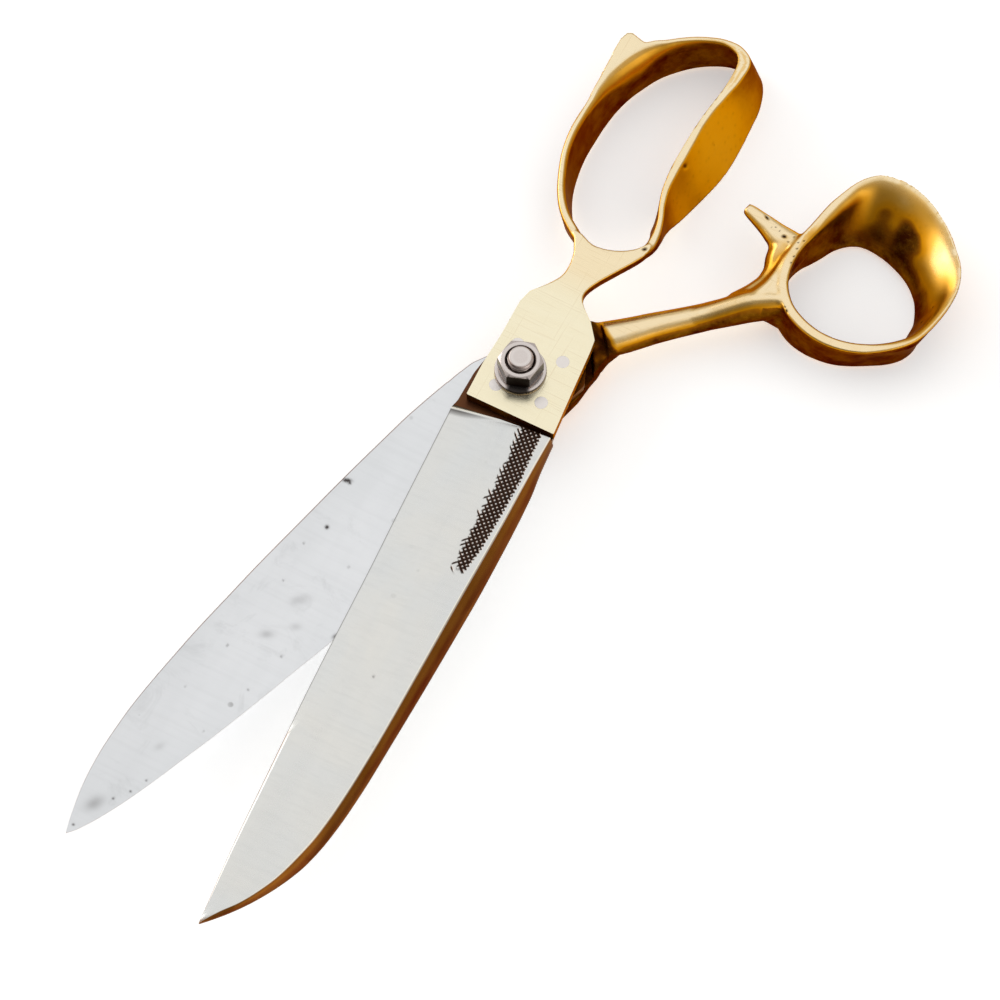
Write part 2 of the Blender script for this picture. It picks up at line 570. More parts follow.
RING_OUT = [1.25] * 5 + [1.2, 1.1, 1.0, 0.95, 0.95, 0.95, 0.95, 0.95, 0.95, 0.95, 0.95, 0.95, 0.95, 1.0, 1.05, 1.1, 1.15] + [1.25] * 6
RING_IN = [1.3] * 3 + [1.5, 1.9, 2.2, 2.0, 1.6, 1.3, 1.0, 0.85, 0.8, 0.8, 0.8, 0.8, 0.8, 0.85, 0.9, 0.95, 1.0, 1.1, 1.2] + [1.3] * 6
RING_ROUT = [0.5] * 5 + [0.6] * 17 + [0.4] * 6
RING_RIN = [0.6] * 3 + [0.8, 1.2, 1.7, 1.9, 1.8] + [1.5] * 11 + [1.2, 0.9, 0.7] + [0.5] * 6
RING_BELL = [1.0, 1.0, 1.05, 1.15, 1.3, 1.5, 1.65, 1.8, 1.9, 2.0, 2.0, 2.0, 1.9, 1.9, 1.9, 1.85, 1.75, 1.5, 1.3, 1.2, 1.1, 1.05, 1.05, 1.05, 1.0, 1.0, 1.0, 1.0]
FRONT_PLATE = [[-8.2, -10.9], [14.2, -10.5], [13.1, -0.5], [11.8, 11.7], [11.3, 14.9], [8.4, 18.5], [3.3, 22.9], [4.2, 26.9],
               [7.5, 32.5], [10.2, 37.2], [10.0, 39.6], [6.2, 37.3], [2.4, 35.7], [-1.4, 35.5], [-4.6, 37.2], [-4.9, 35.4], [-3.2, 31.8],
               [-2.7, 26.6], [-4.7, 23.0], [-7.7, 19.0], [-8.5, 15.7], [-8.3, 5.6], [-8.6, -2.1]]
FRONT_ROOT = [[-8.3, 15.7], [11.2, 15.2], [8.4, 18.5], [3.3, 22.9], [4.2, 26.9], [7.5, 32.5], [11.4, 39.0], [11.6, 42.4],
              [10.6, 42.6], [9.3, 40.7], [7.8, 39.2], [6.1, 38.1], [4.2, 37.2], [2.3, 36.6], [0.4, 36.3], [-1.4, 36.4], [-3.2, 37.2], [-4.3, 37.6], [-5.8, 37.7], [-5.9, 36.8], [-4.6, 34.6], [-3.0, 31.4], [-2.7, 26.6], [-4.7, 23.0], [-7.7, 19.0]]
SPUR = [[-19.1, 66.5], [-19.4, 71.5], [-19.6, 76.5], [-20.0, 83.6], [-19.9, 86.2], [-19.3, 87.9], [-18.2, 88.5], [-16.6, 88.1], [-14.8, 87.7],
        [-13.0, 88.1], [-11.2, 89.4], [-9.2, 91.1], [-9.7, 90.8], [-15.4, 87.0], [-18.0, 80.6], [-18.4, 72.6], [-18.2, 66.4]]
REAR_PLATE = [[5.2, -12.4], [8.6, -8.0], [11.6, -3.0], [13.2, 3.4], [13.6, 7.9], [14.1, 10.7], [14.3, 14.3], [15.6, 17.6], [12.0, 22.6],
              [5.0, 20.8], [-1.0, 19.0], [-6.5, 16.0], [-8.2, 12.0], [-8.6, 4.0], [-10.3, 0.6], [-12.6, -3.6], [-13.8, -7.3]]
REAR_ROOT = [[11.0, 14.2], [13.9, 9.6], [14.3, 13.0], [14.7, 15.4], [16.0, 18.6], [15.6, 22.0], [12.4, 23.0], [10.6, 22.2], [3.0, 20.3], [-2.0, 18.6], [0.0, 17.6], [6.0, 17.0]]
FRONT_RIVETS = [[7.45, 6.6], [7.95, -4.8], [-3.8, 5.75], [-3.35, -5.7]]
REAR_RIVETS = [[-6.0, 6.4], [-8.0, -4.6], [4.6, 6.6], [4.0, -5.6]]


# ------------------------------------------------------------------ handle bands
def band(stations, top, out_t, in_t, r_out, r_in, foot_out, foot_in, bell, count):
    """A band of metal round a finger hole. Each section is a tall strip whose four corners are rounded."""
    S = np.array(stations, float)
    foot_z = S[:, 4] if S.shape[1] > 4 else np.full(len(S), LOW)
    rim = loop_curve(np.c_[S[:, :2], np.full(len(S), top)], count)
    foot = loop_curve(np.c_[S[:, 2:4], foot_z], count)

    def outward(L):
        d = np.roll(L, -1, 0) - np.roll(L, 1, 0)
        d = d[:, :2] / np.linalg.norm(d[:, :2], axis=1)[:, None]
        return np.c_[-d[:, 1], d[:, 0]]

    nr, nf = outward(rim), outward(foot)
    ot, it, ro, ri, fi, be = [loop_values(v, count, 10) for v in (out_t, in_t, r_out, r_in, foot_in, bell)]
    fo = np.full(count, foot_out)
    rb = np.full(count, 0.55)
    H = rim[:, 2] - foot[:, 2]
    sections = []
    K, M = 7, 16
    arc = np.linspace(0, math.pi / 2, K)
    for i in range(count):
        h = H[i]
        pts = []  # (signed offset, height above the foot)
        u_of = lambda z: np.clip(z / h, 0, 1)
        o_at = lambda z: fo[i] + (ot[i] - fo[i]) * u_of(z)
        i_at = lambda z: fi[i] + (it[i] - fi[i]) * u_of(z)
        rz = min(rb[i], h * 0.3)
        for a in arc:                                        # outer bottom corner
            z = rz * (1 - math.cos(a))
            pts.append((o_at(z) - rz * (1 - math.sin(a)), z))
        ro_i = min(ro[i], h * 0.3)
        for z in np.linspace(rz, h - ro_i, M)[1:-1]:         # outer wall
            pts.append((o_at(z), z))
        for a in arc:                                        # outer top corner
            z = h - ro_i * (1 - math.sin(a))
            pts.append((o_at(z) - ro_i * (1 - math.cos(a)), z))
        ri_i = min(ri[i] * 1.15, h * 0.5)
        rx = min(ri[i], ot[i] + it[i] - ro_i - 0.05)
        for a in arc[::-1]:                                  # inner top corner
            z = h - ri_i * (1 - math.sin(a))
            pts.append((-(i_at(z) - rx * (1 - math.cos(a))), z))
        for z in np.linspace(h - ri_i, rz, M)[1:-1]:         # inner wall
            pts.append((-i_at(z), z))
        for a in arc[::-1]:                                  # inner bottom corner
            z = rz * (1 - math.cos(a))
            pts.append((-(i_at(z) - rz * (1 - math.sin(a))), z))
        sec = []
        for off, z in pts:
            u = min(max(z / h, 0), 1)
            ub = u ** be[i]
            c = foot[i] + (rim[i] - foot[i]) * ub
            n = nf[i] + (nr[i] - nf[i]) * u
            sec.append([c[0] + n[0] * off, c[1] + n[1] * off, foot[i, 2] + z + CZ])
        sections.append(sec)
    return loft(sections, closed=True), rim, foot


def limb(path, n=28):
    """A round limb along [x, y, z, half width, half height]."""
    P = np.array(path, float)
    t = np.arange(len(P))
    tt = np.linspace(0, len(P) - 1, (len(P) - 1) * 6 + 1)
    Q = np.stack([np.interp(tt, t, P[:, k]) for k in range(5)], 1)
    for _ in range(3):
        Q[1:-1] = (Q[:-2] + 2 * Q[1:-1] + Q[2:]) / 4
    sec = []
    for i, p in enumerate(Q):
        d = Q[min(i + 1, len(Q) - 1)] - Q[max(i - 1, 0)]
        d = d[:2] / np.linalg.norm(d[:2])
        a = np.arange(n) / n * 2 * math.pi
        sec.append(np.c_[p[0] + d[1] * np.cos(a) * p[3], p[1] - d[0] * np.cos(a) * p[3], p[2] + CZ + np.sin(a) * p[4]])
    return loft(sec)


def horn(axis):
    """A flattened limb along [x, y, half width, low, high]."""
    P = np.array(axis, float)
    t = np.arange(len(P))
    tt = np.linspace(0, len(P) - 1, (len(P) - 1) * 6 + 1)
    Q = np.stack([np.interp(tt, t, P[:, k]) for k in range(5)], 1)
    for _ in range(3):
        Q[1:-1] = (Q[:-2] + 2 * Q[1:-1] + Q[2:]) / 4
    sec = []
    for i, p in enumerate(Q):
        d = Q[min(i + 1, len(Q) - 1)] - Q[max(i - 1, 0)]
        d = d[:2] / np.linalg.norm(d[:2])
        a = np.arange(28) / 28 * 2 * math.pi
        cs, sn = np.cos(a), np.sin(a)
        u = np.sign(cs) * np.abs(cs) ** 0.75 * p[2]
        v = (np.sign(sn) * np.abs(sn) ** 0.75 + 1) / 2
        sec.append(np.c_[p[0] + d[1] * u, p[1] - d[0] * u, CZ + p[3] + (p[4] - p[3]) * v])
    return loft(sec)


def nearest_on(poly, XY):
    """Distance, index along, and closest point on a closed polyline."""
    A = np.array(poly, float)
    B = np.roll(A, -1, 0)
    best = np.full(len(XY), 1e9)
    at = np.zeros(len(XY))
    pt = np.zeros((len(XY), 2))
    for k in range(len(A)):
        d = B[k] - A[k]
        t = np.clip(((XY - A[k]) @ d) / (d @ d + 1e-12), 0, 1)
        q = A[k] + t[:, None] * d
        r = np.linalg.norm(XY - q, axis=1)
        m = r < best
        best[m], at[m] = r[m], (k + t)[m]
        pt[m] = q[m]
    return best, at, pt


def dent(V, N, marks, pit):
    """Real dents along the normal. Each mark is x, y, z, radius along, radius across, direction, depth."""
    for x, y, z, ra, rb, deg, depth in marks:
        a = math.radians(deg)
        d = V - np.array([x, y, z])
        u = d[:, 0] * math.cos(a) + d[:, 1] * math.sin(a)
        v = -d[:, 0] * math.sin(a) + d[:, 1] * math.cos(a)
        w = np.exp(-((u / ra) ** 2 + (v / rb) ** 2 + (d[:, 2] / (max(ra, rb) + 0.6)) ** 2))
        V -= N * (w * depth)[:, None]
        np.maximum(pit, np.clip(w * 1.9 - 0.45, 0, 1), out=pit)
    return V, pit


def soften(poly, above, rounds=3):
    """Rounds the corners of an outline where y is over a limit."""
    P = [tuple(p) for p in poly]
    for _ in range(rounds):
        out = []
        for k in range(len(P)):
            a, b, c = P[k - 1], P[k], P[(k + 1) % len(P)]
            if b[1] > above:
                out.append((b[0] * 0.75 + a[0] * 0.25, b[1] * 0.75 + a[1] * 0.25))
                out.append((b[0] * 0.75 + c[0] * 0.25, b[1] * 0.75 + c[1] * 0.25))
            else:
                out.append(b)
        P = out
    return [list(p) for p in P]


def front_handle():
    b, rim, foot = band(BOW, 4.8, BOW_OUT, BOW_IN, BOW_ROUT, BOW_RIN, 1.15, BOW_FOOT_IN, [1.0] * len(BOW), 350)
    wall = np.array([[foot[i, 0], foot[i, 1]] for i in range(len(foot))])
    _, _, q = nearest_on(wall, np.array(SPUR))
    low = np.array(SPUR) * 0.15 + q * 0.85
    spur = prism(SPUR, CZ - 6.0, CZ + 4.72, inset_low=low)
    me = to_mesh("fh", [b, prism(soften(FRONT_PLATE, 20.0), CZ + 2.3, CZ + 5.2), prism(soften(FRONT_ROOT, 20.0), CZ + 2.3, CZ + 5.05), spur])
    me = voxel(me, VOX)
    V, E = coords(me), edges(me)
    n = len(V)
    dist, at, _ = nearest_on(rim[:, :2], V[:, :2])
    st = at / len(rim) * len(BOW)
    right = ((st > 19.6) & (st < 28.5)).astype(float)
    neck = step(19.0, 24.0, V[:, 1]) * (1 - step(40, 46, V[:, 1]))
    webw = step(10.0, 12.5, st) * (1 - step(17.0, 19.0, st)) * (V[:, 1] > 60)
    plate = 1 - step(17.5, 22.0, V[:, 1])
    # the neck first, strongly, so that plate, neck and bow run together
    V = smooth(V, E, neck, 60, 0.5, -0.503)
    V = smooth(V, E, np.clip(webw, 0, 1) * 0.9, 24, 0.5, -0.51)
    V = smooth(V, E, np.clip(webw, 0, 1) * 0.8 * (V[:, 2] > CZ - 2.0) * inside(rim[:, :2], V[:, :2]), 40, 0.5, -0.30)
    V = smooth(V, E, (1 - plate) * (1 - 0.5 * right), 9, 0.5, -0.51)
    V = smooth(V, E, np.ones(n), 2, 0.5, -0.52)
    # the plate is dead flat, with straight sides
    snapz = (np.abs(V[:, 2] - (CZ + 5.2)) < 0.32) & (V[:, 1] < 24)
    f = 1 - step(17.0, 24.0, V[:, 1])
    V[snapz, 2] += (CZ + 5.2 - V[snapz, 2]) * f[snapz]
    snapu = (np.abs(V[:, 2] - (CZ + 2.3)) < 0.32) & (V[:, 1] < 24)
    V[snapu, 2] += (CZ + 2.3 - V[snapu, 2]) * f[snapu]
    pd, _, pq = nearest_on(FRONT_PLATE, V[:, :2])
    g = (1 - step(19.0, 23.0, V[:, 1])) * (pd < 0.36)
    V[:, :2] += (pq - V[:, :2]) * g[:, None]
    set_coords(me, V)
    me = cut(me, [tube(3.3, CZ, CZ + 8)] + [tube(2.0, CZ, CZ + 8, x, y, 64) for x, y in FRONT_RIVETS])
    V = coords(me)
    N = normals(me)
    body_w = 1 - (1 - step(17.5, 24.0, V[:, 1]))
    V += N * (noise3(V, 7.0, 3) * 0.05 * body_w)[:, None]
    pit = np.zeros(len(V))
    V, pit = dent(V, N, [
        (10.45, 40.8, CZ + 4.7, 0.75, 0.38, 35, 0.35),
        (8.6, 64.7, CZ + 3.9, 0.75, 0.32, 70, 0.22),
        (10.5, 74.4, CZ - 2.0, 0.42, 0.42, 0, 0.12),
        (5.9, 93.9, CZ + 4.6, 0.9, 0.35, -60, 0.25),
    ], pit)
    dist, at, _ = nearest_on(rim[:, :2], V[:, :2])
    st = at / len(rim) * len(BOW)
    ins = np.einsum("ij,ij->i", N[:, :2], np.array([-4.0, 66.0]) - V[:, :2]) > 0
    tone = np.zeros(len(V))
    body_w = step(17.5, 26.0, V[:, 1])
    # darkest inside the top of the bow, golden on the slanted outer wall
    tone -= 0.10 * ins * step(15.8, 17.5, st) * (1 - step(21.0, 22.0, st)) * (V[:, 1] > 60)
    outer = (~ins) & (V[:, 2] < CZ + 4.4)
    tone += 0.12 * outer * step(26.5, 28.5, st) * (1 - step(30.5, 32, st)) * (V[:, 1] > 44)
    tone -= 0.10 * ins * (1 - step(0.90, 0.985, np.abs(N[:, 2]))) * step(0.5, 0.75, np.abs(N[:, 2]))
    tone *= body_w
    tone += 0.34 * (1 - body_w) * (N[:, 0] > 0.6)
    polish = (1 - step(18.0, 36.0, V[:, 1])) * 1.0
    polish = np.maximum(polish, 0.35)
    set_coords(me, V)
    put(me, "tone", tone)
    put(me, "pit", pit)
    put(me, "polish", polish)
    wear = edge_wear(me, V)
    put(me, "wear", 0.5 * wear * (V[:, 1] > 16) * (V[:, 2] > CZ + 3.5))
    return piece(me, "front_bow_handle", "front_half", ["front_handle"], BRASS)


def inside(poly, XY):
    A = np.array(poly, float)
    B = np.roll(A, -1, 0)
    c = np.zeros(len(XY), bool)
    for k in range(len(A)):
        (x0, y0), (x1, y1) = A[k], B[k]
        if y0 == y1:
            continue
        m = (y0 > XY[:, 1]) != (y1 > XY[:, 1])
        c ^= m & (XY[:, 0] < (x1 - x0) * (XY[:, 1] - y0) / (y1 - y0) + x0)
    return c


def edge_wear(me, V):
    """How far each vertex stands out from its neighbours: high on convex edges."""
    E = edges(me)
    N = normals(me)
    n = len(V)
    deg = np.maximum(np.bincount(E.ravel(), minlength=n), 1)[:, None]
    S = np.stack([np.bincount(E[:, 0], V[E[:, 1], k], n) + np.bincount(E[:, 1], V[E[:, 0], k], n) for k in range(3)], 1)
    c = np.einsum("ij,ij->i", V - S / deg, N) / VOX
    return np.clip((c - 0.10) / 0.25, 0, 1)


def rear_handle():
    b, rim, foot = band(RING, 4.5, RING_OUT, RING_IN, RING_ROUT, RING_RIN, 1.25, [1.25] * len(RING), RING_BELL, 320)
    parts = [
        b,
        prism(REAR_PLATE, CZ - 5.2, CZ - 2.3),
        prism(REAR_ROOT, CZ - 5.2, CZ - 0.35),
        limb([[11.6, 19.0, -1.9, 4.4, 3.3], [15.0, 22.0, -2.1, 4.2, 3.4], [19.6, 26.6, -2.3, 3.75, 3.4], [24.0, 30.6, -2.4, 3.45, 3.3],
              [28.6, 34.7, -2.4, 3.25, 3.25], [33.0, 38.9, -2.4, 3.3, 3.3], [37.0, 43.0, -2.4, 3.7, 3.6], [41.3, 48.2, -2.4, 4.3, 4.2]]),
        limb([[26.0, 32.3, -2.4, 3.0, 3.2], [29.6, 35.3, -2.1, 3.0, 3.5], [33.4, 38.4, -1.3, 3.3, 4.3], [37.2, 41.6, -0.5, 3.5, 4.8], [41.2, 44.0, -0.2, 3.2, 4.7], [45.0, 45.4, -0.2, 2.0, 4.6]]),
        limb([[33.6, 41.0, -1.9, 2.6, 3.0], [36.4, 44.6, -1.5, 2.7, 3.5], [38.0, 48.4, -1.3, 2.5, 3.6], [38.3, 52.0, -1.1, 2.6, 3.7], [37.5, 55.2, -0.8, 3.0, 3.9], [37.2, 58.4, -0.5, 3.1, 4.0], [41.0, 61.0, -0.6, 1.6, 4.2]]),
        limb([[38.6, 43.6, -0.6, 3.0, 4.9], [39.6, 47.0, -0.6, 2.5, 4.9], [39.9, 51.0, -0.7, 2.0, 4.9], [39.7, 55.0, -0.7, 1.9, 4.9], [40.5, 59.0, -0.6, 2.0, 4.9], [41.4, 62.5, -0.6, 1.2, 4.8]]),
        limb([[38.4, 42.6, -3.3, 1.6, 2.7], [41.2, 43.6, -3.7, 1.8, 3.5], [44.4, 43.6, -4.2, 1.5, 4.4]]),
        limb([[40.4, 44.4, -0.5, 1.8, 4.7], [41.4, 46.6, -0.5, 1.9, 4.75], [41.4, 49.4, -0.5, 1.4, 4.75]]),
        horn([[41.8, 58.8, 3.0, -4.0, 4.2], [38.6, 59.2, 3.5, -3.0, 3.7], [35.0, 59.8, 3.05, -1.6, 3.4], [32.0, 60.8, 2.4, -0.9, 3.25],
              [29.0, 61.6, 1.9, -0.3, 3.15], [26.8, 62.15, 1.6, 0.3, 3.05], [25.5, 62.45, 1.25, 0.7, 2.9]]),
    ]
    me = voxel(to_mesh("rh", parts), VOX)
    # grow, join and shrink again, so that the crevices where the arms meet close up
    V = coords(me)
    grow = 1.0 * step(27.0, 33.0, np.linalg.norm(V[:, :2], axis=1)) + 0.0
    set_coords(me, V + normals(me) * grow[:, None])
    me = voxel(me, VOX)
    V = coords(me)
    grow = 1.0 * step(27.0, 33.0, np.linalg.norm(V[:, :2], axis=1))
    set_coords(me, V - normals(me) * grow[:, None])
    me = cut(me, [tube(20.9, CZ - 0.35, CZ + 8, n=256)])
    me = voxel(me, VOX)
    V, E = coords(me), edges(me)
    dist, at, _ = nearest_on(rim[:, :2], V[:, :2])
    st = at / len(rim) * len(RING)
    junction = 1 - step(8.5, 14.5, np.linalg.norm((V[:, :2] - np.array([36.6, 50.0])) * np.array([1.0, 0.8]), axis=1))
    rimtop = (V[:, 2] > CZ + 3.2) & inside(rim[:, :2], V[:, :2])
    shank = step(20.0, 24.0, V[:, 0] * 0.72 + V[:, 1] * 0.69) * (V[:, 0] < 41) * (V[:, 1] < 56)
    V = smooth(V, E, np.clip(junction * (1 - 0.75 * rimtop), 0, 1), 60, 0.5, -0.502)
    V = smooth(V, E, np.clip(shank, 0, 1) * 0.9, 14, 0.5, -0.51)
    V = smooth(V, E, 0.9 * step(26, 32, V[:, 0]), 12, 0.5, -0.51)
    flare = step(3.5, 5.5, st) * (1 - step(20.0, 22.0, st)) * (V[:, 0] > 42) * inside(rim[:, :2], V[:, :2])
    V = smooth(V, E, 0.95 * flare, 60, 0.5, -0.36)
    V = smooth(V, E, np.ones(len(V)), 1, 0.4, -0.42)
    for level in (CZ - 5.2, CZ - 2.3):
        m = (np.abs(V[:, 2] - level) < 0.3) & (np.linalg.norm(V[:, :2], axis=1) < 20.5)
        V[m, 2] = level
    pd, _, pq = nearest_on(REAR_PLATE, V[:, :2])
    g = (pd < 0.34) & (V[:, 2] < CZ - 2.2) & (np.linalg.norm(V[:, :2], axis=1) < 18.5)
    V[g, :2] = pq[g]
    # far side of the ring a little fuller
    va = 0.8813 * V[:, 0] + 0.4726 * V[:, 1]
    vb = -0.4726 * V[:, 0] + 0.8813 * V[:, 1]
    far = step(29.5, 42.0, vb) * step(66.0, 72.0, va)
    V[:, :2] += far[:, None] * 0.95 * np.array([-0.4726, 0.8813])
    V[:, :2] += (0.5 * step(80.0, 92.0, va))[:, None] * np.array([0.8813, 0.4726])
    # the near right wall swells a little between rim and foot
    me_n = normals(me)
    away = V[:, :2] - np.array([57.5, 60.0])
    away /= np.maximum(np.linalg.norm(away, axis=1), 1e-6)[:, None]
    vb2 = (-0.4726 * V[:, 0] + 0.8813 * V[:, 1]) * 0.90631 + (V[:, 2] - CZ) * 0.42262
    va2 = 0.8813 * V[:, 0] + 0.4726 * V[:, 1]
    swell = np.exp(-(((va2 - (914 - 520.5) * 0.2288) / 4.4) ** 2 + ((vb2 - (380.5 - 346) * 0.2288) / 3.6) ** 2))
    swell *= (np.einsum("ij,ij->i", me_n[:, :2], away) > 0.2) * (1 - step(CZ + 1.5, CZ + 3.5, V[:, 2]))
    V[:, :2] += 0.5 * swell[:, None] * away
    set_coords(me, V)
    me = cut(me, [tube(3.3, CZ - 8, CZ + 1)] + [tube(2.0, CZ - 8, CZ - 1, x, y, 64) for x, y in REAR_RIVETS])
    V, N = coords(me), normals(me)
    V += N * (noise3(V, 6.0, 5) * 0.06 * step(24, 34, V[:, 0]))[:, None]
    pit = np.zeros(len(V))
    V, pit = dent(V, N, [
        (31.0, 62.1, CZ + 3.1, 0.75, 0.36, -35, 0.3), (36.8, 59.5, CZ + 3.4, 0.7, 0.42, 15, 0.35),
        (38.3, 58.6, CZ + 3.8, 0.28, 0.22, 30, 0.12), (38.9, 60.4, CZ + 3.9, 0.25, 0.2, 0, 0.12),
        (41.1, 57.7, CZ + 4.5, 0.3, 0.2, 60, 0.14), (40.2, 61.8, CZ + 4.4, 0.26, 0.2, 60, 0.12), (41.6, 60.2, CZ + 4.5, 0.3, 0.2, 60, 0.14),
        (41.4, 55.6, CZ + 4.5, 0.3, 0.22, 80, 0.14), (41.6, 53.9, CZ + 4.5, 0.26, 0.2, 80, 0.12), (40.6, 59.2, CZ + 4.5, 0.24, 0.18, 60, 0.1),
        (34.0, 60.7, CZ + 3.3, 0.2, 0.2, 0, 0.08), (35.2, 60.3, CZ + 3.4, 0.18, 0.18, 0, 0.08), (33.2, 60.3, CZ + 3.3, 0.15, 0.15, 0, 0.07),
        (43.1, 65.4, CZ - 3.6, 1.3, 0.8, 55, 0.22), (43.9, 66.6, CZ - 2.6, 0.7, 0.55, 55, 0.15), (42.2, 64.0, CZ - 5.2, 0.5, 0.5, 0, 0.1),
        (46.4, 42.6, CZ + 4.4, 0.5, 0.26, -45, 0.12), (45.6, 43.3, CZ + 4.3, 0.3, 0.2, -45, 0.1),
        (74.6, 60.9, CZ + 1.0, 0.25, 0.25, 0, 0.08), (73.6, 57.0, CZ - 0.6, 0.5, 0.45, 0, 0.08),
    ], pit)
    r = np.linalg.norm(V[:, :2], axis=1)
    tone = np.zeros(len(V))
    # dirt packed in the shoulder groove
    groove = np.exp(-((r - 21.2) / 0.55) ** 2) * (V[:, 2] > CZ - 2.0) * (V[:, 0] > 8)
    pit = np.maximum(pit, 0.75 * groove)
    shoulder = (1 - step(21.8, 24.0, r)) * (V[:, 0] > 6) * (V[:, 2] > CZ - 5.0)
    tone += shoulder * (-0.95 + 0.45 * noise3(V, 1.6, 9))
    pit = np.maximum(pit, shoulder * 0.35)
    tone -= 0.30 * (r < 20.8) * (1 - shoulder)
    # darker gold in the valley between the horn and the rim
    valley = np.exp(-(((V[:, 0] - 38.2) / 1.5) ** 2 + ((V[:, 1] - 53.0) / 4.5) ** 2)) * (V[:, 2] < CZ + 3.6)
    tone -= 0.22 * valley
    dist, at, _ = nearest_on(rim[:, :2], V[:, :2])
    st = at / len(rim) * len(RING)
    low = 1 - step(CZ - 6.5, CZ + 0.5, V[:, 2])
    tone -= 0.16 * low * step(5, 7, st) * (1 - step(20, 22, st)) * (V[:, 0] > 40)
    # brown tarnish inside the flare, as places in the tilted plan (across, up)
    pa = 0.8813 * V[:, 0] + 0.4726 * V[:, 1]
    pb = (-0.4726 * V[:, 0] + 0.8813 * V[:, 1]) * 0.90631 + (V[:, 2] - CZ) * 0.42262
    inward = np.einsum("ij,ij->i", N[:, :2], np.array([57.5, 60.0]) - V[:, :2]) > 0

    def place(px, py, rx, ry, deg=0.0):
        x, y = (pa - (px - 520.5) * 0.2288), (pb - (380.5 - py) * 0.2288)
        c, s = math.cos(math.radians(deg)), math.sin(math.radians(deg))
        u, v = x * c + y * s, -x * s + y * c
        return np.exp(-((u / (rx * 0.2288)) ** 2 + (v / (ry * 0.2288)) ** 2))
    dark = 0.50 * place(902, 228, 24, 17, -30) + 0.30 * place(916, 243, 15, 15, -20) + 0.25 * place(884, 214, 10, 16, -40) + 0.16 * place(845, 238, 34, 14, 0)
    dark += 0.24 * place(903, 268, 14, 34, 25) + 0.24 * place(918, 305, 14, 24, -10) + 0.30 * place(815, 240, 12, 9, 40)
    dark *= 1.0 + 0.5 * noise3(V, 3.0, 21)
    light = 0.14 * place(905, 204, 11, 7, -45) + 0.19 * place(937, 260, 17, 23, 12)
    tone += inward * (V[:, 0] > 41) * (-np.clip(dark, 0, 0.8) + light)
    outward = (~inward) & (V[:, 0] > 41) & (V[:, 2] < CZ + 3.0)
    tone -= 0.24 * outward
    tone -= 0.11 * inward * (V[:, 0] > 43) * (1 - step(0.90, 0.985, np.abs(N[:, 2]))) * (1 - place(938, 260, 22, 30, 10))
    # the near side and the far edge of the shank are dark
    up = np.abs(N[:, 2])
    near = np.einsum("ij,j->i", N[:, :2], np.array([0.4726, -0.8813])) > 0
    on_shank = step(22.0, 26.0, r) * (1 - step(39.0, 43.0, V[:, 0])) * (V[:, 1] < 56)
    tone -= on_shank * np.where(near, 0.34, 0.16) * (1 - step(0.55, 0.86, up))
    set_coords(me, V)
    put(me, "tone", tone)
    put(me, "pit", pit)
    put(me, "polish", np.full(len(V), 0.1))
    wear = edge_wear(me, V)
    put(me, "wear", 0.7 * wear * (V[:, 2] > CZ + 2.6) * (r > 24))
    return piece(me, "rear_ring_handle", "rear_half", ["rear_handle"], BRASS)


